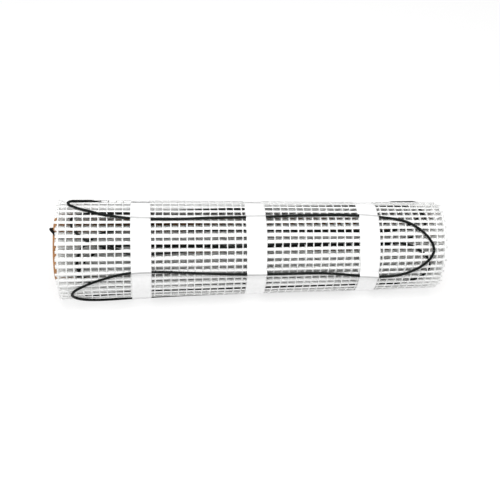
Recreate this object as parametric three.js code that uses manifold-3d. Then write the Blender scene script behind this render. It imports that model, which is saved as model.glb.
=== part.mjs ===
// Underfloor heating mat, rolled up on its cardboard core as it is sold.
//
// A white glass-fibre mesh, half a metre wide, carries one black heating cable laid to and fro across it.
// Three strips of white tape run the length of the mat and hold the cable down. The cold lead comes out of
// the innermost turn, goes over the rim of the core and lies folded inside it.
//
// Millimetres, +Z up. The roll lies on the floor with its axis along X and its face to -Y. It is wound looser
// at the left, so it is a slim cone, and its axis leans a little so that it rests along its whole length.
import * as THREE from "three";
import { mergeVertices } from "three/addons/utils/BufferGeometryUtils.js";
import Module from "manifold-3d";

// The mat and its roll
const MAT_WIDTH = 500;
const ROLL_RADIUS_LEFT = 65.8;
const ROLL_RADIUS_RIGHT = 58.2;
const TURNS = 6; // turns of mesh that show on the ends
const TURN_GROOVE_DEPTH = 2.4; // between one turn's edge and the next
const TURN_EDGE_SHARE = 0.62; // of the spacing of two turns that the edge of one fills
const ROLL_SIDES = 42; // flats round the roll, one for each weft of its outer turn
const WEFT_WIDTH = 3.4; // of the strands that run across the mat
const TAPE_RIM = 1; // of mesh between the seat of a tape and the openings beside it

// The cardboard core
const CORE_OUTER_RADIUS = 41.5;
const CORE_WALL = 3.5;
const CORE_REACH_LEFT = 5; // past the edge of the mesh
const CORE_INSET_RIGHT = 4; // inside the edge of the mesh
const CORE_SIDES = 60;

// The heating cable
const CABLE_DIAMETER = 3.4;
const CABLE_SIDES = 8;
const CABLE_STEPS = 2; // between two points of its route
const SEAL_DIAMETER = 6;
const SEAL_LENGTH = 42;
const SEAL_SHOULDER = 5; // length over which the seal tapers down to the cable
const SEAL_TIP = 2; // length over which its closed end tapers

// The tape
const TAPE_WIDTH = 25.6;
const TAPE_PITCH = 147.2;
const TAPE_OFFSET = 3.5; // of the middle tape, and of the cable's route, from the middle of the mat
const TAPE_THICKNESS = 0.3;
const TAPE_RECESS = 0.05; // of its face below the face of the mesh
const TAPE_CREST = 6.4; // width of its flat top where it passes over the cable
const TAPE_RAMP = 3.6; // width of each slope beside that top

// The cold lead
const LEAD_DIAMETER = 4;
const LEAD_LENGTH = 2500;
const LEAD_SIDES = 8;
const HANK_RUNS = 6;
const HANK_START = -70; // where the first run starts, from the middle of the core
const HANK_REACH = 195; // of its straight runs from the middle of the core
const HANK_FIRST_OFFSET = 13; // of its innermost runs from the middle
const HANK_SPACING = 4.3; // between two runs side by side
const FOLD_STEPS = 6; // round each fold

// How the pieces meet
const GAP = 0.3; // between two pieces that touch
const CABLE_SEAT = 0.4; // between the cable and the mesh below it
const GROOVE_CLEARANCE = 0.2; // round a cable that is pressed into the mesh
const CUT_PAST = 1; // of a cutter past the surface that it opens
const ROLL_TURN = 42; // degrees that the roll is turned about its axis, face upwards

// Worked out from those
const HALF_WIDTH = MAT_WIDTH / 2;
const CORE_INNER_RADIUS = CORE_OUTER_RADIUS - CORE_WALL;
const BORE_RADIUS = CORE_OUTER_RADIUS + GAP;
const CABLE_RADIUS = CABLE_DIAMETER / 2;
const LEAD_RADIUS = LEAD_DIAMETER / 2;
const TAPE_SEAT = TAPE_THICKNESS + GAP + TAPE_RECESS; // depth of the shallow groove below a tape
const BOTTOM_ANGLE = 90 + ROLL_TURN; // where the roll meets the floor
const TAPER = (ROLL_RADIUS_RIGHT - ROLL_RADIUS_LEFT) / MAT_WIDTH;
const FLAT = Math.cos(Math.PI / ROLL_SIDES); // the middle of a flat lies nearer the axis than its edges
const CORE_FLAT = Math.cos(Math.PI / CORE_SIDES);

// Route of the heating cable over the outer turn: [share of the half width, angle, lift].
// The angle goes down the face of the roll from the line that looks at the viewer. The lift, in millimetres,
// is how far the cable stands off its seat; it is negative where the cable goes in under the mat's loose end.
const CABLE_ROUTE = [
  [-0.78, -93, -4.6], [-0.82, -84, -4.4], [-0.868, -76, -3.5], [-0.914, -70, -1.8],
  [-0.946, -65.5, -0.4], [-0.957, -60.8, 0], [-0.948, -56, 0], [-0.914, -51, 0],
  [-0.872, -47, 0], [-0.832, -44, 0], [-0.784, -40.5, 0], [-0.72, -37.5, 0],
  [-0.64, -35, 0], [-0.52, -34, 0], [-0.4, -34, 0], [-0.24, -35.5, 0],
  [-0.08, -36.3, 0], [0.06, -37, 0], [0.2, -38.7, 0], [0.32, -39.3, 0],
  [0.42, -39.8, 0], [0.53, -38.8, 0], [0.6, -37.5, 0], [0.656, -36, 0],
  [0.736, -33, 0], [0.796, -28, 0], [0.848, -19.5, 0], [0.888, -10, 0],
  [0.912, -1, 0], [0.92, 7, 0], [0.908, 15, 0], [0.884, 22, 0],
  [0.852, 28.5, 0], [0.812, 34, 0], [0.772, 38, 0], [0.72, 41, 0],
  [0.656, 42, 0], [0.6, 41, 0], [0.52, 39, 0], [0.432, 36, 0],
  [0.308, 34, 0], [0.18, 33.7, 0], [0.08, 33.7, 0], [-0.088, 33, 0],
  [-0.252, 31, 0], [-0.412, 28.5, 0], [-0.532, 27.3, 0], [-0.64, 28, 0],
  [-0.716, 31, 0], [-0.776, 35, 0], [-0.836, 40, 0], [-0.888, 46, 0],
  [-0.928, 53, 0], [-0.942, 61, 0], [-0.924, 69, 0], [-0.888, 77, 0],
  [-0.836, 84, 0], [-0.78, 89, 0], [-0.712, 93.5, 0], [-0.62, 97, 0],
  [-0.48, 100, 0], [-0.24, 103, 0], [0, 104, 0], [0.24, 104.5, 0],
  [0.48, 105, 0], [0.66, 106, 0], [0.78, 110, 0], [0.86, 118, 0],
  [0.912, 129, 0], [0.928, 142, 0], [0.912, 155, 0], [0.86, 166, 0],
  [0.78, 173.5, 0], [0.66, 177.5, 0], [0.48, 179, 0], [0.24, 179, 0],
  [0, 178.5, 0], [-0.24, 178.5, 0], [-0.48, 178.5, 0], [-0.66, 180, 0],
  [-0.78, 184, 0], [-0.86, 191, 0], [-0.916, 201, 0], [-0.94, 213, 0],
  [-0.924, 225, 0], [-0.868, 235, 0], [-0.788, 241, 0], [-0.66, 245, 0],
  [-0.48, 246.5, 0], [-0.24, 247, 0], [0, 247, 0], [0.24, 247, 0],
  [0.48, 247, 0], [0.65, 247, 0], [0.7, 247, 0.5], [0.745, 247, 1.3], [0.76, 247, 1.3],
];
const DIVE_END = 5; // the first points, up to here, lie in the mesh under the loose end
const PRESSED_START = 65; // and the points between these two pass below the roll, pressed in by the floor
const PRESSED_END = 74;

// Route of the cold lead out of the mesh and over the rim of the core: [x past the mesh's left edge, height
// above the core's outside, angle].
const LEAD_OVER_RIM = [
  [-16, 2.5, -12], [-8, 2.5, -16], [-1, 2.5, -22], [3.4, 2.5, -28], [6.9, 1.9, -34],
  [8.4, -1.2, -39.5], [8.3, -4.8, -44.5], [6, -7, -49], [1, -8.2, -53], [-6, -9.1, -56],
];
const SEATED = 5; // the first points, up to here, lie in a seat in the innermost turn
// And down inside the core to its floor: [x, y, z] from the middle of the axis.
const LEAD_DROP = [
  [-225, 3, 30.5], [-197, 3, 23], [-170, 1.5, 9], [-146, -2.5, -9.5], [-122, -8, -25], [-98, -12, -32.4],
];

const wasm = await Module();
wasm.setup();

function rollRadius(x) {
  return (ROLL_RADIUS_LEFT + ROLL_RADIUS_RIGHT) / 2 + TAPER * x;
}

function turnSpacing(x) {
  return (rollRadius(x) - BORE_RADIUS) / TURNS;
}

// A point at a distance x along the roll, at an angle down its face, at a distance from its axis.
function spot(x, angle, radius) {
  const turned = THREE.MathUtils.degToRad(angle - ROLL_TURN);
  return new THREE.Vector3(x, -radius * Math.cos(turned), -radius * Math.sin(turned));
}

// A curve that is cut into steps between its own points, so that bends get more steps than straight runs.
class SteppedRoute extends THREE.CatmullRomCurve3 {
  constructor(points) {
    super(points, false, "centripetal");
  }
  getPointAt(share, target) {
    return this.getPoint(share, target);
  }
  getTangentAt(share, target) {
    return this.getTangent(share, target);
  }
  getSpacedPoints(steps) {
    return this.getPoints(steps);
  }
}

function circleShape(radius, sides) {
  const corners = [];
  for (let i = 0; i < sides; i += 1) {
    const turn = ((i + 0.5) / sides) * 2 * Math.PI;
    corners.push(new THREE.Vector2(radius * Math.cos(turn), radius * Math.sin(turn)));
  }
  return new THREE.Shape(corners);
}

function tubeAlong(points, radius, sides, stepsBetween) {
  return new THREE.ExtrudeGeometry(circleShape(radius, sides), {
    steps: (points.length - 1) * stepsBetween,
    extrudePath: new SteppedRoute(points),
  });
}

// A solid turned about X from a closed outline of [x, radius], with a flat at its lowest side.
function turned(outline, sides) {
  const profile = outline.map(([x, radius]) => new THREE.Vector2(radius, x));
  profile.push(profile[0].clone());
  const lathe = new THREE.LatheGeometry(profile, sides, Math.PI / sides, 2 * Math.PI);
  return lathe.rotateZ(-Math.PI / 2);
}

function toSolid(geometry) {
  const plain = geometry.clone();
  plain.deleteAttribute("normal");
  plain.deleteAttribute("uv");
  const merged = mergeVertices(plain, 1e-4);
  return new wasm.Manifold(
    new wasm.Mesh({
      numProp: 3,
      vertProperties: merged.attributes.position.array,
      triVerts: new Uint32Array(merged.index.array),
    }),
  );
}

function toGeometry(solid) {
  const mesh = solid.getMesh();
  const geometry = new THREE.BufferGeometry();
  geometry.setAttribute("position", new THREE.BufferAttribute(new Float32Array(mesh.vertProperties), 3));
  geometry.setIndex(new THREE.BufferAttribute(new Uint32Array(mesh.triVerts), 1));
  const flatShaded = geometry.toNonIndexed();
  flatShaded.computeVertexNormals();
  return flatShaded;
}

function piece(name, geometry, colour, roughness, metalness = 0) {
  const material = new THREE.MeshStandardMaterial({ color: colour, roughness, metalness });
  const mesh = new THREE.Mesh(geometry, material);
  mesh.name = name;
  return mesh;
}

// The cable's centre line. It lies on the mesh, but no lower than the floor lets it.
function cablePoints() {
  return CABLE_ROUTE.map(([share, angle, lift]) => {
    const x = share * HALF_WIDTH + TAPE_OFFSET;
    const fromBottom = THREE.MathUtils.degToRad(angle - BOTTOM_ANGLE);
    const onMesh = rollRadius(x) + CABLE_SEAT + CABLE_RADIUS + lift;
    const aboveFloor = (rollRadius(x) * FLAT - CABLE_RADIUS - GAP) / Math.max(Math.cos(fromBottom), 0.1);
    return spot(x, angle, Math.min(onMesh, aboveFloor));
  });
}

function leadPoints() {
  const overRim = LEAD_OVER_RIM.map(([past, height, angle]) => {
    return spot(-HALF_WIDTH - past, angle, CORE_OUTER_RADIUS + height);
  });
  const points = [...overRim, ...LEAD_DROP.map(([x, y, z]) => new THREE.Vector3(x, y, z))];
  addHank(points);
  return points;
}

// The rest of the lead lies to and fro on the floor of the core, each pair of runs outside the one before.
function addHank(points) {
  const layRadius = CORE_INNER_RADIUS * CORE_FLAT - LEAD_RADIUS - GAP;
  const onFloor = (x, y) => new THREE.Vector3(x, y, -Math.sqrt(layRadius ** 2 - y ** 2));
  const runY = (run) => (run % 2 === 0 ? -1 : 1) * (HANK_FIRST_OFFSET + HANK_SPACING * Math.floor(run / 2));
  for (let run = 0; run < HANK_RUNS - 1; run += 1) {
    const heading = run % 2 === 0 ? 1 : -1;
    const y = runY(run);
    const nextY = -Math.sign(y) * Math.abs(runY(run + 1));
    const start = run === 0 ? HANK_START : -heading * HANK_REACH;
    points.push(onFloor(start + heading * HANK_SPACING, y));
    points.push(onFloor((start + heading * HANK_REACH) / 2, y));
    points.push(onFloor(heading * HANK_REACH, y));
    const foldRadius = (nextY - y) / 2;
    for (let i = 1; i < FOLD_STEPS; i += 1) {
      const turn = (i / FOLD_STEPS) * Math.PI;
      const reach = heading * (HANK_REACH + Math.abs(foldRadius) * Math.sin(turn));
      points.push(onFloor(reach, y + foldRadius * (1 - Math.cos(turn))));
    }
  }
  const heading = HANK_RUNS % 2 === 1 ? 1 : -1;
  const lastY = runY(HANK_RUNS - 1);
  points.push(onFloor(-heading * HANK_REACH, lastY));
  const left = LEAD_LENGTH - new SteppedRoute(points).getLengths(4000).pop();
  points.push(onFloor(-heading * (HANK_REACH - left / 2), lastY));
  points.push(onFloor(-heading * (HANK_REACH - left), lastY));
}

// The rolled mesh is one turned solid with its bore, a ring for the edge of each turn on both ends, and a
// shallow seat below each tape. The rows of openings of its outer turn are cut into it as long grooves.
function meshRollOutline() {
  const outline = [];
  const edgeRings = (side) => {
    const outer = rollRadius(side * HALF_WIDTH);
    const spacing = turnSpacing(side * HALF_WIDTH);
    for (let turn = 0; turn < TURNS; turn += 1) {
      const inner = BORE_RADIUS + turn * spacing;
      outline.push([side * HALF_WIDTH, inner]);
      outline.push([side * HALF_WIDTH, inner + spacing * TURN_EDGE_SHARE]);
      if (turn < TURNS - 1) {
        outline.push([side * (HALF_WIDTH - TURN_GROOVE_DEPTH), inner + spacing * (1 + TURN_EDGE_SHARE) / 2]);
      }
    }
    outline.push([side * HALF_WIDTH, outer]);
  };
  edgeRings(-1);
  for (const centre of tapeCentres()) {
    const start = centre - TAPE_WIDTH / 2 - GAP;
    const end = centre + TAPE_WIDTH / 2 + GAP;
    outline.push([start, rollRadius(start)], [start, rollRadius(start) - TAPE_SEAT]);
    outline.push([end, rollRadius(end) - TAPE_SEAT], [end, rollRadius(end)]);
  }
  const leftAndTop = outline.splice(0);
  edgeRings(1);
  return [...leftAndTop, ...outline.reverse()];
}

function tapeCentres() {
  return [-1, 0, 1].map((i) => i * TAPE_PITCH + TAPE_OFFSET);
}

// One row of openings between two wefts of the outer turn, down to the face of the turn below.
function openingRow(start, end, turn) {
  const row = new THREE.BoxGeometry(end - start, 1, 1).translate((start + end) / 2, 0, 0);
  const places = row.attributes.position;
  for (let i = 0; i < places.count; i += 1) {
    const x = places.getX(i);
    const outer = rollRadius(x);
    const opening = 2 * outer * Math.sin(Math.PI / ROLL_SIDES) - WEFT_WIDTH;
    const radius = places.getZ(i) > 0 ? outer - turnSpacing(x) : outer + CUT_PAST;
    places.setXYZ(i, x, places.getY(i) * opening, -radius);
  }
  return row.rotateX(turn);
}

// The rows of openings run from tape to tape, and past the edges of the mat.
function openingRows() {
  const rim = TAPE_WIDTH / 2 + GAP + TAPE_RIM;
  const starts = [-HALF_WIDTH - CUT_PAST, ...tapeCentres().map((centre) => centre + rim)];
  const ends = [...tapeCentres().map((centre) => centre - rim), HALF_WIDTH + CUT_PAST];
  const rows = [];
  for (let i = 0; i < ROLL_SIDES; i += 1) {
    const turn = ((i + 0.5) / ROLL_SIDES) * 2 * Math.PI;
    starts.forEach((start, field) => rows.push(toSolid(openingRow(start, ends[field], turn))));
  }
  return wasm.Manifold.union(rows);
}

// A route whose first point is moved back, so that a groove starts before the end of what lies in it.
function startedEarlier(points) {
  const back = points[0].clone().sub(points[1]).setLength(CUT_PAST);
  return [points[0].clone().add(back), ...points.slice(1)];
}

function meshRoll(cable, lead) {
  const cutterRadius = (radius, sides) => (radius + GROOVE_CLEARANCE) / Math.cos(Math.PI / sides);
  const groove = (points, radius, sides, steps) =>
    toSolid(tubeAlong(points, cutterRadius(radius, sides), sides, steps));
  const dive = startedEarlier(cable.slice(0, DIVE_END + 1));
  const pressed = cable.slice(PRESSED_START, PRESSED_END + 1);
  const leadSeat = startedEarlier(lead.slice(0, SEATED));
  return toSolid(turned(meshRollOutline(), ROLL_SIDES))
    .subtract(openingRows())
    .subtract(groove(dive, CABLE_RADIUS, CABLE_SIDES, CABLE_STEPS))
    .subtract(groove(pressed, CABLE_RADIUS, CABLE_SIDES, CABLE_STEPS))
    .subtract(groove(leadSeat, LEAD_RADIUS, LEAD_SIDES, 1));
}

function cardboardCore() {
  const left = -HALF_WIDTH - CORE_REACH_LEFT;
  const right = HALF_WIDTH - CORE_INSET_RIGHT;
  return turned(
    [
      [left, CORE_INNER_RADIUS],
      [left, CORE_OUTER_RADIUS],
      [right, CORE_OUTER_RADIUS],
      [right, CORE_INNER_RADIUS],
    ],
    CORE_SIDES,
  );
}

// Angles, down the face, at which the cable crosses the middle of a tape.
function crossings(cable, centre) {
  const line = new SteppedRoute(cable).getPoints(2000);
  const found = [];
  for (let i = 1; i < line.length; i += 1) {
    if ((line[i - 1].x - centre) * (line[i].x - centre) < 0) {
      found.push(THREE.MathUtils.radToDeg(Math.atan2(-line[i].z, -line[i].y)));
    }
  }
  return found.map((angle) => (angle + 360) % 360);
}

// A tape is a thin ring that climbs over the cable at each crossing. It follows the slope of the roll.
function tapeStrip(cable, centre) {
  const radius = rollRadius(centre);
  const degrees = (arc) => THREE.MathUtils.radToDeg(arc / radius);
  const crest = degrees(TAPE_CREST / 2);
  const foot = degrees(TAPE_CREST / 2 + TAPE_RAMP);
  const bumps = crossings(cable, centre);
  const climb = CABLE_SEAT + CABLE_DIAMETER + GAP + TAPE_SEAT - GAP;
  const stops = [];
  for (let i = 0; i < ROLL_SIDES; i += 1) {
    const angle = (BOTTOM_ANGLE - ROLL_TURN + ((i + 0.5) / ROLL_SIDES) * 360) % 360;
    const apart = bumps.map((bump) => Math.abs(((angle - bump + 540) % 360) - 180));
    if (Math.min(...apart) > foot) {
      stops.push([angle, 0]);
    }
  }
  for (const bump of bumps) {
    stops.push([bump - foot, 0], [bump - crest, climb], [bump + crest, climb], [bump + foot, 0]);
  }
  stops.sort((a, b) => a[0] - b[0]);
  const line = (base) =>
    stops.map(([angle, rise]) => {
      const turn = THREE.MathUtils.degToRad(angle);
      return new THREE.Vector2(-(base + rise) * Math.cos(turn), -(base + rise) * Math.sin(turn));
    });
  const inner = radius - TAPE_SEAT + GAP;
  const shape = new THREE.Shape(line(inner + TAPE_THICKNESS));
  shape.holes.push(new THREE.Path(line(inner)));
  const ring = new THREE.ExtrudeGeometry(shape, { depth: TAPE_WIDTH, bevelEnabled: false, steps: 1 });
  const alongX = new THREE.Matrix4().makeBasis(
    new THREE.Vector3(0, 1, 0),
    new THREE.Vector3(0, 0, 1),
    new THREE.Vector3(1, 0, 0),
  );
  ring.applyMatrix4(alongX).translate(centre - TAPE_WIDTH / 2, 0, 0);
  return taperWithRoll(ring, centre);
}

function taperWithRoll(geometry, centre) {
  const places = geometry.attributes.position;
  for (let i = 0; i < places.count; i += 1) {
    const scale = rollRadius(places.getX(i)) / rollRadius(centre);
    places.setXYZ(i, places.getX(i), places.getY(i) * scale, places.getZ(i) * scale);
  }
  return geometry;
}

// The heat-shrink cap that closes the far end of the cable, at the right of the last run.
function endSeal(cable) {
  const radius = SEAL_DIAMETER / 2;
  const outline = [
    [0, 0],
    [0, CABLE_RADIUS + CABLE_SEAT],
    [SEAL_SHOULDER, radius],
    [SEAL_LENGTH - SEAL_TIP, radius],
    [SEAL_LENGTH, CABLE_RADIUS],
    [SEAL_LENGTH, 0],
  ];
  const profile = outline.map(([x, r]) => new THREE.Vector2(r, x));
  const cap = new THREE.LatheGeometry(profile, 16).rotateZ(-Math.PI / 2);
  const end = cable[cable.length - 1];
  return cap.translate(end.x + GAP, end.y, end.z);
}

const cable = cablePoints();
const lead = leadPoints();

const roll = new THREE.Group();
roll.add(piece("mesh_roll", toGeometry(meshRoll(cable, lead)), 0xf2f3f2, 0.7));
roll.add(piece("cardboard_core", cardboardCore(), 0xb9855a, 0.9));
roll.add(piece("heating_cable", tubeAlong(cable, CABLE_RADIUS, CABLE_SIDES, CABLE_STEPS), 0x1c2122, 0.45));
roll.add(piece("cable_end_seal", endSeal(cable), 0x111314, 0.5));
roll.add(piece("cold_lead", tubeAlong(lead, LEAD_RADIUS, LEAD_SIDES, 1), 0x17191a, 0.5));
["left", "middle", "right"].forEach((side, i) => {
  roll.add(piece(`tape_strip_${side}`, tapeStrip(cable, tapeCentres()[i]), 0xf4f4f4, 0.35));
});

// Lean the axis so that the lowest flat of the cone is level, and set the roll on the floor about the origin.
roll.rotation.y = -Math.atan(TAPER * FLAT);
roll.updateMatrixWorld(true);
const bounds = new THREE.Box3();
for (const mesh of roll.children) {
  if (mesh.name !== "cold_lead") {
    bounds.expandByObject(mesh, true);
  }
}
const middle = bounds.getCenter(new THREE.Vector3());
roll.position.set(-middle.x, -middle.y, -bounds.min.z);

const mat = new THREE.Group();
mat.add(roll);

export default mat;
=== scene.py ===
import math
import random

import bmesh
import bpy
import numpy as np
from mathutils import Matrix, Vector, noise


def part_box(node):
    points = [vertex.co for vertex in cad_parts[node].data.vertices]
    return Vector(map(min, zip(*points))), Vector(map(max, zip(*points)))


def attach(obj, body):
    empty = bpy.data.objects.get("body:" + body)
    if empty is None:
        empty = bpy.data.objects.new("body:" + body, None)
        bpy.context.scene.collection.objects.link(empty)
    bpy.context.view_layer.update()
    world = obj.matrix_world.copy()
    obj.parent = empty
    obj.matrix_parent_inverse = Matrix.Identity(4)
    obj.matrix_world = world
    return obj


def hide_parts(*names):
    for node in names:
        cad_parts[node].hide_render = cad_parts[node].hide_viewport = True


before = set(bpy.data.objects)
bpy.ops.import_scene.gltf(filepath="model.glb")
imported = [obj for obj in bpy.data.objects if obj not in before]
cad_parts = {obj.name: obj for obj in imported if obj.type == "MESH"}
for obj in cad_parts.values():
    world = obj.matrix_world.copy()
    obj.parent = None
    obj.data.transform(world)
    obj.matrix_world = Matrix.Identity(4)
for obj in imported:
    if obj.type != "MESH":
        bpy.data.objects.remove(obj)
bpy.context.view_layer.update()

# The mat and its roll, in millimetres as in the part's source.
HALF_WIDTH = 250.0
ROLL_RADIUS_LEFT = 65.8
ROLL_RADIUS_RIGHT = 58.2
BORE_RADIUS = 41.8
TURNS = 6
ROLL_SIDES = 42
FLAT = math.cos(math.pi / ROLL_SIDES)
CORE_FLAT = math.cos(math.pi / 60)
ROLL_TURN = 42.0
BOTTOM_ANGLE = 90 + ROLL_TURN
LOOSE_END = 280.0
TAPER = (ROLL_RADIUS_RIGHT - ROLL_RADIUS_LEFT) / (2 * HALF_WIDTH)

# How deep the mat has sunk below the outer turn, in spacings of two turns, after a number of turns.
SINK = [(0, 0), (0.957, 0), (0.968, 0.32), (0.986, 0.84), (1.011, 1.1), (1.06, 1.14), (1.7, 1.18), (6, 5.6)]
LOOSE_DROOP = 2.3
DIVE_X = -208.0

# The mesh
WARP_PITCH = 10.09
WARP_COUNT = 50
WARP_SIZE = (1.25, 0.5)
WEFT_PITCH = 2 * math.pi * (ROLL_RADIUS_LEFT + ROLL_RADIUS_RIGHT) / 2 / ROLL_SIDES
WEFT_SIZE = (3.4, 0.42)
STRAND_STEP = 4.6

# How far the right edge of the mat wanders to and fro as it winds up, and where it lies furthest out
WINDING_SKEW = 2.4
SKEW_ANGLE = -40.0

# The cable, its seal and the tape
CABLE_RADIUS = 1.7
CABLE_SEAT = 0.3
CABLE_RUN_SPACING = 78.0
GAP = 0.3
SEAL_RADIUS = 3.0
SEAL_LENGTH = 42.0
TAPE_WIDTH = 25.6
TAPE_PITCH = 147.2
TAPE_OFFSET = 3.5
TAPE_STEP = 1.2
TAPE_COLUMNS = 12
TAPE_LIFT = 0.16
TAPE_FLARE = 5.0
TAPE_OVER_CABLE = 0.3

# The core and the lead
CORE_OUTER_RADIUS = 41.5
CORE_WALL = 3.5
CORE_LEFT = -255.0
CORE_RIGHT = 246.0
LEAD_RADIUS = 2.0
LEAD_LENGTH = 2500.0

# Route of the cable over the outer turn: share of the half width, angle, lift off its seat.
OUTER_ROUTE = [
    (-0.73, -111, -4.4), (-0.8, -103, -4.6), (-0.84, -93, -4.6), (-0.858, -84, -4.5),
    (-0.875, -76, -3.5), (-0.914, -70, -1.8),
    (-0.946, -65.5, -0.4), (-0.957, -60.8, 0), (-0.948, -56, 0), (-0.914, -51, 0),
    (-0.872, -47, 0), (-0.832, -44, 0), (-0.784, -40.5, 0), (-0.72, -37.5, 0),
    (-0.64, -35, 0), (-0.52, -34, 0), (-0.4, -34, 0), (-0.24, -35.5, 0),
    (-0.08, -36.3, 0), (0.06, -37, 0), (0.2, -38.7, 0), (0.32, -39.3, 0),
    (0.42, -39.8, 0), (0.53, -38.8, 0), (0.6, -37.5, 0), (0.656, -36, 0),
    (0.736, -33, 0), (0.796, -28, 0), (0.848, -19.5, 0), (0.888, -10, 0),
    (0.912, -1, 0), (0.92, 7, 0), (0.908, 15, 0), (0.884, 22, 0),
    (0.852, 28.5, 0), (0.812, 34, 0), (0.772, 38, 0), (0.72, 41, 0),
    (0.656, 42, 0), (0.6, 41, 0), (0.52, 39, 0), (0.432, 36, 0),
    (0.308, 34, 0), (0.18, 33.7, 0), (0.08, 33.7, 0), (-0.088, 33, 0),
    (-0.252, 31, 0), (-0.412, 28.5, 0), (-0.532, 27.3, 0), (-0.64, 28, 0),
    (-0.716, 31, 0), (-0.776, 35, 0), (-0.836, 40, 0), (-0.888, 46, 0),
    (-0.928, 53, 0), (-0.942, 61, 0), (-0.924, 69, 0), (-0.888, 77, 0),
    (-0.836, 84, 0), (-0.78, 89, 0), (-0.712, 94, 0), (-0.62, 99, 0),
    (-0.48, 102.5, 0), (-0.24, 105.3, 0), (0, 106.3, 0), (0.24, 106.6, 0),
    (0.48, 106.5, 0), (0.66, 106.8, 0), (0.78, 110, 0), (0.86, 118, 0),
    (0.912, 129, 0), (0.928, 142, 0), (0.912, 155, 0), (0.86, 166, 0),
    (0.78, 173.5, 0), (0.66, 177.5, 0), (0.48, 179, 0), (0.24, 179, 0),
    (0, 178.5, 0), (-0.24, 178.5, 0), (-0.48, 178.5, 0), (-0.66, 180, 0),
    (-0.78, 184, 0), (-0.86, 191, 0), (-0.916, 201, 0), (-0.94, 213, 0),
    (-0.924, 225, 0), (-0.868, 235, 0), (-0.788, 241, 0), (-0.66, 245, 0),
    (-0.48, 246.5, 0), (-0.24, 247, 0), (0, 247, 0), (0.24, 247, 0),
    (0.48, 247, 0), (0.65, 247, 0), (0.7, 247, 0.5), (0.745, 247, 1.3), (0.76, 247, 1.3),
]

# The runs of the cable in the turns below, outermost first: angle at the left, in the middle, at the right.
# The angle keeps counting down from turn to turn. Deeper runs follow at the cable's spacing.
BURIED_RUNS = [
    (-113, -112, -114), (-206, -206, -206), (-293, -294, -296), (-353, -361, -365),
    (-408, -416, -422), (-494, -494, -494), (-576, -576, -576), (-658, -658, -658), (-745, -743, -740),
]
RUN_END = 165.0
LOOP_REACH = 60.0
# The loop at the left of the second turn, which shows through the mesh: angle, place across the mat.
SHOWN_LOOP = [
    (-366, 160), (-365, 110), (-363.5, 50), (-361, -20), (-358, -56), (-355.5, -97), (-353.2, -138),
    (-354, -163), (-359, -178), (-362.5, -193), (-365, -206), (-370, -215), (-377, -225), (-387, -233),
    (-397, -234), (-403, -226), (-406, -214), (-407.5, -197), (-408.5, -166), (-411, -110), (-414.5, -50),
    (-418, 10), (-421, 80), (-423, 160),
]
SHOWN_FIRST = 3

# Route of the cold lead out of the mesh and over the rim: x past the mesh's left edge, height above the
# core's outside, angle. Then down inside the core, from the middle of its axis.
LEAD_OVER_RIM = [
    (-16, 2.5, -12), (-8, 2.5, -16), (-1, 2.5, -22), (3.2, 2.5, -28), (6.6, 1.9, -34),
    (8, -1.2, -39.5), (7.9, -4.8, -44.5), (5.8, -7, -49), (1, -8.2, -53), (-6, -9.1, -56),
]
LEAD_DROP = [
    (-225, 3, 30.5), (-197, 3, 23), (-170, 1.5, 9), (-146, -2.5, -9.5), (-122, -8, -25), (-98, -12, -32.4),
]
HANK_RUNS = 6
HANK_START = -70.0
HANK_REACH = 195.0
HANK_FIRST_OFFSET = 13.0
HANK_SPACING = 4.3
FOLD_STEPS = 6

rng = random.Random(11)


# The roll's own axes.


def roll_matrix():
    """From the roll's axes, in millimetres, to the part's frame, in metres."""
    lean = Matrix.Rotation(math.atan(-TAPER * FLAT), 4, "Y")
    low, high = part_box("cardboard_core")
    core_middle = lean @ Vector(((CORE_LEFT + CORE_RIGHT) / 2, 0, 0))
    return Matrix.Translation((low + high) / 2 - core_middle / 1000) @ lean @ Matrix.Scale(0.001, 4)


ROLL = roll_matrix()


def outer_radius(x):
    return (ROLL_RADIUS_LEFT + ROLL_RADIUS_RIGHT) / 2 + TAPER * x


def turn_spacing(x):
    return (outer_radius(x) - BORE_RADIUS) / TURNS


def spot(x, angle, radius):
    """Points on the roll's own axes, for arrays or single numbers."""
    turned = np.radians(np.asarray(angle, float) - ROLL_TURN)
    x, radius, turned = np.broadcast_arrays(np.asarray(x, float), radius, turned)
    return np.stack([x, -radius * np.cos(turned), -radius * np.sin(turned)], -1)


def sunk(angle):
    """How deep the mat lies below the outer turn, in spacings of two turns."""
    turns, depths = zip(*SINK)
    fine = np.linspace(-0.1, TURNS + 0.2, 3000)
    smooth = np.convolve(np.interp(fine, turns, depths), np.ones(9) / 9, "same")
    return np.interp((LOOSE_END - np.asarray(angle, float)) / 360, fine[5:-5], smooth[5:-5])


def face_radius(angle, x):
    """Radius of the outer face of the mesh. Its loose end droops onto the turn below, but for the cable."""
    to_end = np.clip(1 - (LOOSE_END - np.asarray(angle, float)) / 20, 0, 1)
    held_up = np.exp(-(((np.asarray(x, float) - DIVE_X) / 28) ** 2))
    droop = LOOSE_DROOP * to_end * to_end * (3 - 2 * to_end) * (1 - held_up)
    return outer_radius(x) - turn_spacing(x) * sunk(angle) - droop


def along_mat():
    """The mat's length, measured along its middle, against the angle: two arrays for interpolation."""
    angles = np.linspace(LOOSE_END, LOOSE_END - 360 * TURNS + 25, 20000)
    radii = face_radius(angles, 0.0)
    steps = np.radians(-np.diff(angles)) * (radii[1:] + radii[:-1]) / 2
    return np.concatenate([[0], np.cumsum(steps)]), angles


MAT_LENGTHS, MAT_ANGLES = along_mat()
MAT_LENGTH = float(MAT_LENGTHS[-1])


def angle_at(length):
    return np.interp(length, MAT_LENGTHS, MAT_ANGLES)


def length_at(angle):
    return np.interp(-np.asarray(angle, float), -MAT_ANGLES, MAT_LENGTHS)


# Making pieces.


def vertex_array(mesh):
    places = np.empty(len(mesh.vertices) * 3)
    mesh.vertices.foreach_get("co", places)
    return places.reshape(-1, 3)


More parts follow.
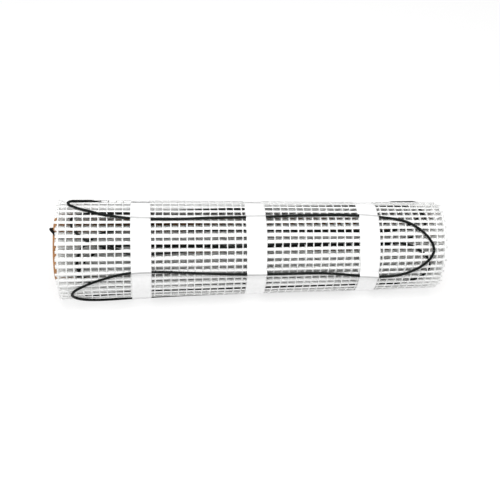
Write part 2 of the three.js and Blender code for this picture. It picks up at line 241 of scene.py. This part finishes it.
def put_back(mesh, places):
    mesh.vertices.foreach_set("co", np.ascontiguousarray(places, dtype=np.float64).ravel())
    mesh.update()


def into_frame(places):
    """Points on the roll's axes to the part's frame. Nothing goes below the floor."""
    matrix = np.array(ROLL)
    moved = places @ matrix[:3, :3].T + matrix[:3, 3]
    moved[:, 2] = np.maximum(moved[:, 2], 0.00005)
    return moved


def finish_piece(bm, name, material, smooth=True):
    mesh = bpy.data.meshes.new(name)
    bm.to_mesh(mesh)
    bm.free()
    mesh.polygons.foreach_set("use_smooth", [smooth] * len(mesh.polygons))
    piece = bpy.data.objects.new(name, mesh)
    bpy.context.scene.collection.objects.link(piece)
    mesh.materials.append(material)
    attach(piece, "root")
    return piece


def keep_flat_place(mesh):
    """A UV map that holds each point's place on the flat mat, so that a pattern follows the mat."""
    flat = vertex_array(mesh)
    corners = np.empty(len(mesh.loops), dtype=np.int32)
    mesh.loops.foreach_get("vertex_index", corners)
    layer = mesh.uv_layers.new(name="mat")
    layer.data.foreach_set("uv", (flat[corners][:, :2] / 1000).astype(np.float32).ravel())
    return flat


def roll_up(piece, height=None, skew=0.0):
    """Rolls up a piece that was made flat. Its z is the height above the mesh's outer face."""
    flat = keep_flat_place(piece.data)
    rise = flat[:, 2] if height is None else height(flat)
    angle = angle_at(flat[:, 0])
    radius = face_radius(angle, flat[:, 1]) + rise - pressed_in(angle, flat[:, 1])
    x = flat[:, 1] + skew * np.cos(np.radians(angle - SKEW_ANGLE)) * (flat[:, 1] / HALF_WIDTH + 1) / 2
    put_back(piece.data, into_frame(spot(x, angle, radius)))
    return piece


def strand(bm, length, width, thickness, steps):
    """A flat strand along x, cut into steps."""
    made = bmesh.ops.create_cube(bm, size=1)["verts"]
    bmesh.ops.scale(bm, vec=(length, width, thickness), verts=made)
    long_edges = [e for e in bm.edges if abs(e.verts[0].co.x - e.verts[1].co.x) > length / 2]
    bmesh.ops.subdivide_edges(bm, edges=long_edges, cuts=steps - 1, use_grid_fill=True)
    return list(bm.verts)


# Routes.


def smooth_route(points, steps):
    """A centripetal curve through the points, as in the part's source, with steps between each two."""
    points = np.asarray(points, float)
    ends = [2 * points[0] - points[1], 2 * points[-1] - points[-2]]
    row = np.vstack([ends[0], points, ends[1]])
    line = []
    for a, b, c, d in zip(row[:-3], row[1:-2], row[2:-1], row[3:]):
        t0, t1, t2 = (max(math.sqrt(np.linalg.norm(q - p)), 1e-4) for p, q in ((a, b), (b, c), (c, d)))
        m1 = ((b - a) / t0 - (c - a) / (t0 + t1) + (c - b) / t1) * t1
        m2 = ((c - b) / t1 - (d - b) / (t1 + t2) + (d - c) / t2) * t1
        for i in range(steps):
            t = i / steps
            line.append(
                b + m1 * t + (3 * (c - b) - 2 * m1 - m2) * t**2 + (2 * (b - c) + m1 + m2) * t**3
            )
    line.append(points[-1])
    return np.array(line)


def outer_cable_places():
    """The cable on the outer turn, as (angle, x, radius), from the dive under the loose end to the seal."""
    share, angle, lift = np.array(OUTER_ROUTE, float).T
    x = share * HALF_WIDTH + TAPE_OFFSET
    on_mesh = outer_radius(x) + CABLE_SEAT + CABLE_RADIUS + lift
    from_bottom = np.maximum(np.cos(np.radians(angle - BOTTOM_ANGLE)), 0.1)
    above_floor = (outer_radius(x) * FLAT - CABLE_RADIUS - GAP) / from_bottom
    return np.stack([angle, x, np.minimum(on_mesh, above_floor)], -1)


def buried_runs():
    runs = [np.array(r, float) for r in BURIED_RUNS]
    while True:
        last = runs[-1][1]
        radius = float(face_radius(last - 40, 0.0))
        step = math.degrees(CABLE_RUN_SPACING / radius)
        if length_at(last - step) > MAT_LENGTH - 45:
            return runs
        runs.append(np.full(3, last - step) + np.array([rng.uniform(-3, 3) for _ in range(3)]))


def buried_cable_places():
    """The cable in the turns below, as (angle, x, radius). It lies close under the turn above it."""
    places = []
    side = 1
    runs = buried_runs()
    for i, run in enumerate(runs):
        if i == SHOWN_FIRST:
            places += SHOWN_LOOP
        elif i != SHOWN_FIRST + 1:
            for share in (-0.9, -0.45, 0, 0.45, 0.9):
                x = side * share * RUN_END
                places.append((np.interp(x, (-RUN_END, 0, RUN_END), run) + rng.uniform(-0.8, 0.8), x))
        if i != SHOWN_FIRST and i < len(runs) - 1:
            here = np.interp(side * RUN_END, (-RUN_END, 0, RUN_END), run)
            there = np.interp(side * RUN_END, (-RUN_END, 0, RUN_END), runs[i + 1])
            reach = LOOP_REACH + rng.uniform(-5, 3)
            for turn in np.linspace(0, math.pi, 9):
                angle = (here + there) / 2 + (here - there) / 2 * math.cos(turn)
                places.append((angle, side * (RUN_END + reach * math.sin(turn))))
        side = -side
    angle, x = np.array(places).T
    x += TAPE_OFFSET
    above = face_radius(angle + 360, x) - WEFT_SIZE[1] - 0.25 - CABLE_RADIUS
    own = face_radius(angle, x) + CABLE_SEAT + CABLE_RADIUS
    return np.stack([angle, x, np.minimum(above, own)], -1)


def whole_cable():
    """Centre line of the whole heating cable on the roll's axes, from its joint with the lead to its seal."""
    buried = buried_cable_places()[::-1]
    route = np.vstack([buried[:-1], outer_cable_places()])
    return smooth_route(spot(route[:, 1], route[:, 0], route[:, 2]), 5)


def hank_route(points):
    """Adds the runs of the lead on the floor of the core, the last one as long as the lead allows."""
    lay_radius = (CORE_OUTER_RADIUS - CORE_WALL) * CORE_FLAT - LEAD_RADIUS - GAP

    def on_floor(x, y):
        return (x, y, -math.sqrt(lay_radius**2 - y**2))

    def run_y(run):
        return (-1 if run % 2 == 0 else 1) * (HANK_FIRST_OFFSET + HANK_SPACING * (run // 2))

    for run in range(HANK_RUNS - 1):
        heading = 1 if run % 2 == 0 else -1
        y, next_y = run_y(run), run_y(run + 1)
        start = HANK_START if run == 0 else -heading * HANK_REACH
        points.append(on_floor(start + heading * HANK_SPACING, y))
        points.append(on_floor((start + heading * HANK_REACH) / 2, y))
        points.append(on_floor(heading * HANK_REACH, y))
        fold = (next_y - y) / 2
        for i in range(1, FOLD_STEPS):
            turn = i / FOLD_STEPS * math.pi
            points.append(
                on_floor(heading * (HANK_REACH + abs(fold) * math.sin(turn)), y + fold * (1 - math.cos(turn)))
            )
    heading = 1 if HANK_RUNS % 2 == 1 else -1
    last_y = run_y(HANK_RUNS - 1)
    points.append(on_floor(-heading * HANK_REACH, last_y))
    line = smooth_route(points, 60)
    left = LEAD_LENGTH - np.linalg.norm(np.diff(line, axis=0), axis=1).sum()
    points.append(on_floor(-heading * (HANK_REACH - left / 2), last_y))
    points.append(on_floor(-heading * (HANK_REACH - left), last_y))
    return points


def lead_line():
    past, height, angle = np.array(LEAD_OVER_RIM, float).T
    over_rim = spot(-HALF_WIDTH - past, angle, CORE_OUTER_RADIUS + height)
    return smooth_route(hank_route([*over_rim, *LEAD_DROP]), 6)


def pressed_in(angle, x):
    """How far the mat is pushed in below the cable that the roll lies on."""
    places = outer_cable_places()
    dense = smooth_route(places, 8)
    low = dense[(dense[:, 2] < outer_radius(dense[:, 1]) + CABLE_RADIUS) & (dense[:, 0] > 100)]
    depth = np.zeros(len(angle))
    near = np.flatnonzero(
        (angle > low[:, 0].min() - 12) & (angle < low[:, 0].max() + 12) & (x > low[:, 1].min() - 12)
    )
    for i in near:
        apart = np.hypot(np.radians(low[:, 0] - angle[i]) * ROLL_RADIUS_RIGHT, low[:, 1] - x[i])
        wanted = outer_radius(x[i]) - (low[:, 2] - CABLE_RADIUS - 0.1) - 0.45 * np.maximum(apart - 1.5, 0)
        depth[i] = max(float(wanted.max()), 0)
    return depth


# Materials.


def new_material(name):
    material = bpy.data.materials.new(name)
    material.use_nodes = True
    tree = material.node_tree
    tree.nodes.clear()
    output = tree.nodes.new("ShaderNodeOutputMaterial")
    shader = tree.nodes.new("ShaderNodeBsdfPrincipled")
    tree.links.new(shader.outputs["BSDF"], output.inputs["Surface"])
    return material, tree, shader


def mat_place(tree):
    """The place on the flat mat, in metres."""
    node = tree.nodes.new("ShaderNodeUVMap")
    node.uv_map = "mat"
    return node.outputs["UV"]


def object_place(tree):
    return tree.nodes.new("ShaderNodeTexCoord").outputs["Object"]


def group_input(group, name, kind, value=None, low=None, high=None):
    socket = group.interface.new_socket(name, in_out="INPUT", socket_type=kind)
    if value is not None:
        socket.default_value = value
    return socket


def make_fibre_group():
    """Fine lines along a strand, with slow changes of brightness: a mask and a height."""
    group = bpy.data.node_groups.new("fibre lines", "ShaderNodeTree")
    group_input(group, "Place", "NodeSocketVector")
    group_input(group, "Fineness", "NodeSocketVector", (40.0, 2600.0, 1.0))
    group_input(group, "Patch size", "NodeSocketFloat", 60.0)
    group.interface.new_socket("Lines", in_out="OUTPUT", socket_type="NodeSocketFloat")
    group.interface.new_socket("Patches", in_out="OUTPUT", socket_type="NodeSocketFloat")
    nodes, links = group.nodes, group.links
    enter = nodes.new("NodeGroupInput")
    leave = nodes.new("NodeGroupOutput")
    stretch = nodes.new("ShaderNodeVectorMath")
    stretch.operation = "MULTIPLY"
    lines = nodes.new("ShaderNodeTexNoise")
    lines.inputs["Scale"].default_value = 1.0
    lines.inputs["Detail"].default_value = 3.0
    patches = nodes.new("ShaderNodeTexNoise")
    patches.inputs["Detail"].default_value = 2.0
    links.new(enter.outputs["Place"], stretch.inputs[0])
    links.new(enter.outputs["Fineness"], stretch.inputs[1])
    links.new(stretch.outputs["Vector"], lines.inputs["Vector"])
    links.new(enter.outputs["Place"], patches.inputs["Vector"])
    links.new(enter.outputs["Patch size"], patches.inputs["Scale"])
    links.new(lines.outputs["Fac"], leave.inputs["Lines"])
    links.new(patches.outputs["Fac"], leave.inputs["Patches"])
    return group


def ramp(tree, value, stops):
    node = tree.nodes.new("ShaderNodeValToRGB")
    node.color_ramp.elements[0].position, node.color_ramp.elements[0].color = stops[0]
    node.color_ramp.elements[1].position, node.color_ramp.elements[1].color = stops[-1]
    for place, colour in stops[1:-1]:
        node.color_ramp.elements.new(place).color = colour
    tree.links.new(value, node.inputs["Fac"])
    return node.outputs["Color"]


def bump(tree, height, strength, distance):
    node = tree.nodes.new("ShaderNodeBump")
    node.inputs["Strength"].default_value = strength
    node.inputs["Distance"].default_value = distance
    tree.links.new(height, node.inputs["Height"])
    return node.outputs["Normal"]


def grey(value, alpha=1.0):
    return (value, value, value, alpha)


def glass_fibre(name, fibre_group, fineness):
    material, tree, shader = new_material(name)
    fibres = tree.nodes.new("ShaderNodeGroup")
    fibres.node_tree = fibre_group
    fibres.inputs["Fineness"].default_value = fineness
    tree.links.new(mat_place(tree), fibres.inputs["Place"])
    tint = ramp(
        tree,
        fibres.outputs["Patches"],
        [(0.35, (0.88, 0.89, 0.88, 1)), (0.65, (0.95, 0.95, 0.94, 1))],
    )
    tree.links.new(tint, shader.inputs["Base Color"])
    shader.inputs["Roughness"].default_value = 0.5
    shader.inputs["Subsurface Weight"].default_value = 0.35
    shader.inputs["Subsurface Radius"].default_value = (1.0, 1.0, 1.0)
    shader.inputs["Subsurface Scale"].default_value = 0.002
    shader.inputs["Coat Weight"].default_value = 0.15
    shader.inputs["Coat Roughness"].default_value = 0.35
    tree.links.new(bump(tree, fibres.outputs["Lines"], 0.35, 0.0002), shader.inputs["Normal"])
    return material


def cable_sheath(name, colour, roughness):
    material, tree, shader = new_material(name)
    scuffs = tree.nodes.new("ShaderNodeTexNoise")
    scuffs.inputs["Scale"].default_value = 240.0
    scuffs.inputs["Detail"].default_value = 4.0
    tree.links.new(object_place(tree), scuffs.inputs["Vector"])
    light = tuple(c * 1.9 for c in colour)
    tint = ramp(tree, scuffs.outputs["Fac"], [(0.4, (*colour, 1)), (0.72, (*light, 1))])
    tree.links.new(tint, shader.inputs["Base Color"])
    finish = ramp(tree, scuffs.outputs["Fac"], [(0.3, grey(roughness - 0.08)), (0.7, grey(roughness + 0.1))])
    tree.links.new(finish, shader.inputs["Roughness"])
    shader.inputs["Specular IOR Level"].default_value = 0.12
    tree.links.new(bump(tree, scuffs.outputs["Fac"], 0.12, 0.0002), shader.inputs["Normal"])
    return material


def white_tape():
    """White tape, uneven in tone, greyed over the cable: the cable showing through, and painted shade."""
    material, tree, shader = new_material("white tape")
    place = mat_place(tree)
    wrinkles = tree.nodes.new("ShaderNodeTexNoise")
    wrinkles.inputs["Scale"].default_value = 180.0
    wrinkles.inputs["Detail"].default_value = 3.0
    tree.links.new(place, wrinkles.inputs["Vector"])
    below = tree.nodes.new("ShaderNodeAttribute")
    below.attribute_name = "cable showing and ridge shade"
    # Painted shade: greyer over the cable, for the cable showing through and the shade beside the tape's ridge.
    cable_line_and_shade = ramp(tree, below.outputs["Fac"], [(0.1, grey(1.0)), (1.0, grey(0.4))])
    base = ramp(tree, wrinkles.outputs["Fac"], [(0.3, grey(0.86)), (0.7, grey(0.92))])
    shade = tree.nodes.new("ShaderNodeMix")
    shade.data_type = "RGBA"
    shade.blend_type = "MULTIPLY"
    shade.inputs["Factor"].default_value = 1.0
    tree.links.new(base, shade.inputs[6])
    tree.links.new(cable_line_and_shade, shade.inputs[7])
    tree.links.new(shade.outputs[2], shader.inputs["Base Color"])
    shader.inputs["Roughness"].default_value = 0.38
    tree.links.new(bump(tree, wrinkles.outputs["Fac"], 0.25, 0.0004), shader.inputs["Normal"])
    return material


def cardboard():
    """Wound brown card: fine fibres and larger patches in its tone, and a fibre bump."""
    material, tree, shader = new_material("wound cardboard")
    place = object_place(tree)
    fibres = tree.nodes.new("ShaderNodeTexNoise")
    fibres.inputs["Scale"].default_value = 900.0
    fibres.inputs["Detail"].default_value = 6.0
    tree.links.new(place, fibres.inputs["Vector"])
    patches = tree.nodes.new("ShaderNodeTexNoise")
    patches.inputs["Scale"].default_value = 45.0
    tree.links.new(place, patches.inputs["Vector"])
    mix = tree.nodes.new("ShaderNodeMix")
    mix.inputs["Factor"].default_value = 0.45
    tree.links.new(fibres.outputs["Fac"], mix.inputs[2])
    tree.links.new(patches.outputs["Fac"], mix.inputs[3])
    tint = ramp(
        tree,
        mix.outputs[0],
        [(0.32, (0.3, 0.13, 0.045, 1)), (0.5, (0.46, 0.22, 0.09, 1)), (0.68, (0.6, 0.34, 0.17, 1))],
    )
    tree.links.new(tint, shader.inputs["Base Color"])
    shader.inputs["Roughness"].default_value = 0.85
    tree.links.new(bump(tree, fibres.outputs["Fac"], 0.4, 0.0003), shader.inputs["Normal"])
    return material


FIBRE_LINES = make_fibre_group()
WARP_GLASS = glass_fibre("glass fibre warp", FIBRE_LINES, (40.0, 2600.0, 1.0))
WEFT_GLASS = glass_fibre("glass fibre weft", FIBRE_LINES, (2600.0, 40.0, 1.0))
CABLE_BLACK = cable_sheath("black cable sheath", (0.002, 0.003, 0.0028), 0.42)
LEAD_BLACK = cable_sheath("black lead sheath", (0.002, 0.0022, 0.0023), 0.5)
SHRINK_BLACK = cable_sheath("black heat shrink", (0.0018, 0.002, 0.002), 0.36)
WHITE_TAPE = white_tape()
CARDBOARD = cardboard()


# Camera.

CAMERA_X = -126.5
CAMERA_DISTANCE = 1337.2
CAMERA_YAW = 5.404
CAMERA_PITCH = -0.179
CAMERA_ROLL = -0.716
CAMERA_LENS = 1009.4 / 500 * 36


def make_camera():
    """The camera of the photograph, placed by the roll's own axes."""
    turn = math.radians(ROLL_TURN)
    towards = Vector((0, -math.cos(turn), math.sin(turn)))
    upwards = Vector((0, math.sin(turn), math.cos(turn)))
    yaw, pitch, tip = (math.radians(a) for a in (CAMERA_YAW, CAMERA_PITCH, CAMERA_ROLL))
    forward = math.cos(pitch) * (math.sin(yaw) * Vector((1, 0, 0)) - math.cos(yaw) * towards)
    forward += math.sin(pitch) * upwards
    right = forward.cross(upwards).normalized()
    up = right.cross(forward)
    right, up = math.cos(tip) * right + math.sin(tip) * up, math.cos(tip) * up - math.sin(tip) * right
    place = Vector((CAMERA_X, 0, 0)) + CAMERA_DISTANCE * towards
    turned = ROLL.to_3x3().normalized()
    axes = Matrix((turned @ right, turned @ up, turned @ -forward)).transposed()
    camera = bpy.data.objects.new("camera", bpy.data.cameras.new("camera"))
    camera.data.lens = CAMERA_LENS
    camera.data.sensor_width = 36
    camera.data.clip_start, camera.data.clip_end = 0.01, 50
    camera.matrix_world = Matrix.Translation(ROLL @ place) @ axes.to_4x4()
    bpy.context.scene.collection.objects.link(camera)
    bpy.context.scene.camera = camera


make_camera()


# The cold lead.


def make_lead():
    line = into_frame(lead_line())
    curve = bpy.data.curves.new("cold_lead_sheath", "CURVE")
    curve.dimensions = "3D"
    spline = curve.splines.new("POLY")
    spline.points.add(len(line) - 1)
    spline.points.foreach_set("co", np.column_stack([line, np.ones(len(line))]).ravel())
    curve.bevel_depth = LEAD_RADIUS / 1000
    curve.bevel_resolution = 3
    curve.use_fill_caps = True
    spline.use_smooth = True
    piece = bpy.data.objects.new("cold_lead_sheath", curve)
    bpy.context.scene.collection.objects.link(piece)
    curve.materials.append(LEAD_BLACK)
    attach(piece, "root")
    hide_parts("cold_lead")


make_lead()


# The mesh.


def make_warps():
    """Strands along the mat, side by side, each a little wavy."""
    bm = bmesh.new()
    steps = round(MAT_LENGTH / STRAND_STEP)
    first = strand(bm, MAT_LENGTH, *WARP_SIZE, steps)
    bmesh.ops.translate(bm, vec=(MAT_LENGTH / 2, 0, 0), verts=first)
    one = bm.verts[:] + bm.edges[:] + bm.faces[:]
    left = -(WARP_COUNT - 1) / 2 * WARP_PITCH
    for i in range(1, WARP_COUNT):
        made = bmesh.ops.duplicate(bm, geom=one)["geom"]
        copies = [g for g in made if isinstance(g, bmesh.types.BMVert)]
        bmesh.ops.translate(bm, vec=(0, left + i * WARP_PITCH, 0), verts=copies)
    bmesh.ops.translate(bm, vec=(0, left, 0), verts=first)
    piece = finish_piece(bm, "mesh_warps", WARP_GLASS)
    flat = vertex_array(piece.data)
    row = np.round((flat[:, 1] - left) / WARP_PITCH)
    flat[:, 1] += 0.35 * np.sin(flat[:, 0] / 47 + row * 2.1) + 0.2 * np.sin(flat[:, 0] / 13 + row * 4.7)
    flat[:, 2] -= WARP_SIZE[1] / 2
    put_back(piece.data, flat)
    return roll_up(piece, skew=WINDING_SKEW)


def make_wefts():
    """Flat strands across the mat. Their cut ends stick out past the outermost warps."""
    bm = bmesh.new()
    first = strand(bm, 1.0, *WEFT_SIZE, WARP_COUNT + 1)
    bmesh.ops.rotate(bm, cent=(0, 0, 0), matrix=Matrix.Rotation(math.pi / 2, 3, "Z"), verts=first)
    one = bm.verts[:] + bm.edges[:] + bm.faces[:]
    from_bottom = float(length_at(BOTTOM_ANGLE))
    first_place = from_bottom % WEFT_PITCH
    count = int((MAT_LENGTH - first_place) / WEFT_PITCH)
    for i in range(1, count):
        made = bmesh.ops.duplicate(bm, geom=one)["geom"]
        copies = [g for g in made if isinstance(g, bmesh.types.BMVert)]
        bmesh.ops.translate(bm, vec=(i * WEFT_PITCH, 0, 0), verts=copies)
    bmesh.ops.translate(bm, vec=(first_place, 0, 0), verts=bm.verts)
    piece = finish_piece(bm, "mesh_wefts", WEFT_GLASS)
    flat = vertex_array(piece.data)
    row = np.round((flat[:, 0] - first_place) / WEFT_PITCH).astype(int)
    left_end = np.array([-HALF_WIDTH - rng.uniform(-1.4, 1.6) for _ in range(count)])
    right_end = np.array([HALF_WIDTH + rng.uniform(-2.4, 1.6) for _ in range(count)])
    drift = np.array([rng.uniform(-0.5, 0.5) for _ in range(count)])
    flat[:, 1] = np.interp(flat[:, 1], (-0.5, 0.5), (0, 1))
    flat[:, 1] = left_end[row] + (right_end - left_end)[row] * flat[:, 1]
    flat[:, 0] += drift[row] + 0.3 * np.sin(flat[:, 1] / 37 + row * 1.7)
    flat[:, 2] -= WARP_SIZE[1] / 2
    put_back(piece.data, flat)
    return roll_up(piece, skew=WINDING_SKEW)


warps = make_warps()
wefts = make_wefts()
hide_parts("mesh_roll")


# The heating cable and its seal.

CABLE_LINE = whole_cable()


def tube_along(bm, line, radius, sides):
    """A closed round tube: a circle set at each point of the line, bridged to the one before."""
    tangents = np.gradient(line, axis=0)
    tangents /= np.linalg.norm(tangents, axis=1)[:, None]
    side = Vector(tangents[0]).orthogonal().normalized()
    rings = []
    for place, tangent in zip(line, tangents):
        tangent = Vector(tangent)
        side = (side - tangent * side.dot(tangent)).normalized()
        matrix = Matrix((side, tangent.cross(side), tangent)).transposed().to_4x4()
        matrix.translation = Vector(place)
        ring = bmesh.ops.create_circle(bm, segments=sides, radius=radius, matrix=matrix)["verts"]
        rings.append(ring)
    for near, far in zip(rings, rings[1:]):
        for i in range(sides):
            j = (i + 1) % sides
            bm.faces.new((near[i], near[j], far[j], far[i]))
    bm.faces.new(rings[0][::-1])
    bm.faces.new(rings[-1])


def make_cable():
    bm = bmesh.new()
    tube_along(bm, CABLE_LINE, CABLE_RADIUS, 12)
    piece = finish_piece(bm, "heating_cable_sheath", CABLE_BLACK)
    put_back(piece.data, into_frame(vertex_array(piece.data)))
    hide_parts("heating_cable")


def make_seal():
    """The heat-shrink cap on the cable's end, nipped flat at its tip."""
    bm = bmesh.new()
    end = CABLE_LINE[-1]
    outline = [
        (-6.0, 0.0), (-6.0, 1.9), (-4.0, 2.05), (0.5, 2.1), (3.0, 2.5), (5.5, SEAL_RADIUS),
        (SEAL_LENGTH - 8, SEAL_RADIUS), (SEAL_LENGTH - 5, 2.8), (SEAL_LENGTH - 3, 2.1),
        (SEAL_LENGTH - 0.3, 1.9), (SEAL_LENGTH, 1.5), (SEAL_LENGTH, 0.0),
    ]
    verts = [bm.verts.new((x, 0, r)) for x, r in outline]
    edges = [bm.edges.new(pair) for pair in zip(verts, verts[1:])]
    bmesh.ops.spin(
        bm, geom=verts + edges, cent=(0, 0, 0), axis=(1, 0, 0), angle=2 * math.pi, steps=24, use_merge=True
    )
    bmesh.ops.remove_doubles(bm, verts=bm.verts, dist=0.001)
    bmesh.ops.recalc_face_normals(bm, faces=bm.faces)
    for v in bm.verts:
        if v.co.x > SEAL_LENGTH - 6:
            v.co.z *= 0.75
    bmesh.ops.translate(bm, vec=end, verts=bm.verts)
    piece = finish_piece(bm, "end_seal_sleeve", SHRINK_BLACK)
    put_back(piece.data, into_frame(vertex_array(piece.data)))
    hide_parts("cable_end_seal")


make_cable()
make_seal()


# The tape.


def cable_on_mat():
    """The cable's centre line as (length along the mat, place across it, height above the mesh's face)."""
    route = np.vstack([buried_cable_places()[::-1][:-1], outer_cable_places()])
    dense = smooth_route(route, 60)
    angle, x, radius = dense.T
    return np.stack([length_at(angle), x, radius - face_radius(angle, x)], -1)


def tape_rise(flat, cable):
    """Height of the tape's lower face, flat on the mesh and tight over the cable; and how grey it is painted
    there.
    """
    snug = CABLE_RADIUS + TAPE_OVER_CABLE
    rise = np.full(len(flat), TAPE_LIFT)
    cable_showing_and_shade = np.zeros(len(flat))
    order = np.argsort(cable[:, 0])
    lengths = cable[order, 0]
    for i, (length, x, _) in enumerate(flat):
        low, high = np.searchsorted(lengths, (length - 9, length + 9))
        if low == high:
            continue
        close = cable[order[low:high]]
        apart = np.hypot(close[:, 0] - length, close[:, 1] - x)
        nearest = int(apart.argmin())
        d, height = float(apart[nearest]), float(close[nearest, 2])
        if d > TAPE_FLARE + 2:
            continue
        reach = math.hypot(TAPE_FLARE, height - TAPE_LIFT)
        slope = math.atan2(height - TAPE_LIFT, TAPE_FLARE) + math.asin(min(snug / reach, 1))
        if d < snug * math.sin(slope):
            over = height + math.sqrt(snug**2 - d**2)
        else:
            over = TAPE_LIFT + (TAPE_FLARE - d) * math.tan(slope)
        rise[i] = max(over, TAPE_LIFT)
        # Weight of the grey painted over the cable: the cable showing through, and painted shade by the ridge.
        cable_showing_and_shade[i] = math.exp(-((d / 1.5) ** 2))
    return rise, cable_showing_and_shade


def make_tape(side, name):
    """One strip of tape along the whole mat."""
    bm = bmesh.new()
    steps = round(MAT_LENGTH / TAPE_STEP)
    bmesh.ops.create_grid(bm, x_segments=steps, y_segments=TAPE_COLUMNS, size=0.5)
    bmesh.ops.scale(bm, vec=(MAT_LENGTH, TAPE_WIDTH, 1), verts=bm.verts)
    middle = side * TAPE_PITCH + TAPE_OFFSET
    bmesh.ops.translate(bm, vec=(MAT_LENGTH / 2, middle, 0), verts=bm.verts)
    piece = finish_piece(bm, f"tape_{name}", WHITE_TAPE)
    flat = vertex_array(piece.data)
    flat[:, 1] += 0.25 * np.sin(flat[:, 0] / 31 + side)
    put_back(piece.data, flat)
    rise, cable_showing_and_shade = tape_rise(flat, CABLE_ON_MAT)
    layer = piece.data.attributes.new("cable showing and ridge shade", "FLOAT", "POINT")
    layer.data.foreach_set("value", cable_showing_and_shade.astype(np.float32))
    below_next = turn_spacing(flat[:, 1]) * (sunk(angle_at(flat[:, 0])) - sunk(angle_at(flat[:, 0]) + 360))
    buried = angle_at(flat[:, 0]) + 360 < LOOSE_END
    rise = np.where(buried, np.minimum(rise, below_next - 0.7), rise)
    roll_up(piece, lambda _: rise)
    wall = piece.modifiers.new("tape thickness", "SOLIDIFY")
    wall.thickness = 0.00012
    wall.offset = 1
    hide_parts(f"tape_strip_{name}")


CABLE_ON_MAT = cable_on_mat()
for tape_side, tape_name in ((-1, "left"), (0, "middle"), (1, "right")):
    make_tape(tape_side, tape_name)


# The core.


def make_core():
    bm = bmesh.new()
    inner = CORE_OUTER_RADIUS - CORE_WALL
    corners = [
        (CORE_LEFT, inner), (CORE_LEFT, CORE_OUTER_RADIUS), (CORE_RIGHT, CORE_OUTER_RADIUS), (CORE_RIGHT, inner),
    ]
    verts = [bm.verts.new((x, 0, r)) for x, r in corners]
    edges = [bm.edges.new((verts[i], verts[(i + 1) % 4])) for i in range(4)]
    bmesh.ops.bevel(
        bm, geom=verts, offset=0.5, offset_type="OFFSET", segments=2, profile=0.5, material=-1, affect="VERTICES"
    )
    bmesh.ops.spin(
        bm,
        geom=bm.verts[:] + bm.edges[:],
        cent=(0, 0, 0),
        axis=(1, 0, 0),
        angle=2 * math.pi,
        steps=128,
        use_merge=True,
    )
    bmesh.ops.remove_doubles(bm, verts=bm.verts, dist=0.001)
    bmesh.ops.recalc_face_normals(bm, faces=bm.faces)
    piece = finish_piece(bm, "wound_core", CARDBOARD)
    put_back(piece.data, into_frame(vertex_array(piece.data)))
    edge_split = piece.modifiers.new("crisp rim", "EDGE_SPLIT")
    edge_split.split_angle = math.radians(40)
    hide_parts("cardboard_core")


make_core()


# Floor and light.


def make_floor():
    bm = bmesh.new()
    bmesh.ops.create_grid(bm, x_segments=1, y_segments=1, size=8)
    mesh = bpy.data.meshes.new("floor")
    bm.to_mesh(mesh)
    bm.free()
    floor = bpy.data.objects.new("floor", mesh)
    bpy.context.scene.collection.objects.link(floor)
    material, tree, shader = new_material("pale glowing floor")
    shader.inputs["Base Color"].default_value = (0.3, 0.3, 0.3, 1)
    shader.inputs["Roughness"].default_value = 0.9
    # Painted light: the floor glows, lighting the roll from below and keeping its contact shadow faint.
    shader.inputs["Emission Color"].default_value = (1, 1, 1, 1)
    shader.inputs["Emission Strength"].default_value = 0.72
    mesh.materials.append(material)


def make_light(name, place, aim, size, power):
    light = bpy.data.lights.new(name, "AREA")
    light.shape = "SQUARE"
    light.size = size
    light.energy = power
    lamp = bpy.data.objects.new(name, light)
    lamp.location = place
    lamp.rotation_euler = (Vector(aim) - Vector(place)).to_track_quat("-Z", "Y").to_euler()
    bpy.context.scene.collection.objects.link(lamp)


def make_surroundings():
    world = bpy.data.worlds.new("studio")
    bpy.context.scene.world = world
    world.use_nodes = True
    back = world.node_tree.nodes["Background"]
    back.inputs["Color"].default_value = (1, 1, 1, 1)
    back.inputs["Strength"].default_value = 0.34
    make_light("soft_top", (0.0, -0.5, 1.65), (0, 0, 0.06), 1.2, 32)
    make_light("soft_left", (-1.6, -0.4, 1.0), (-0.2, 0, 0.06), 1.2, 6)
    bpy.context.scene.view_settings.view_transform = "Standard"


make_floor()
make_surroundings()
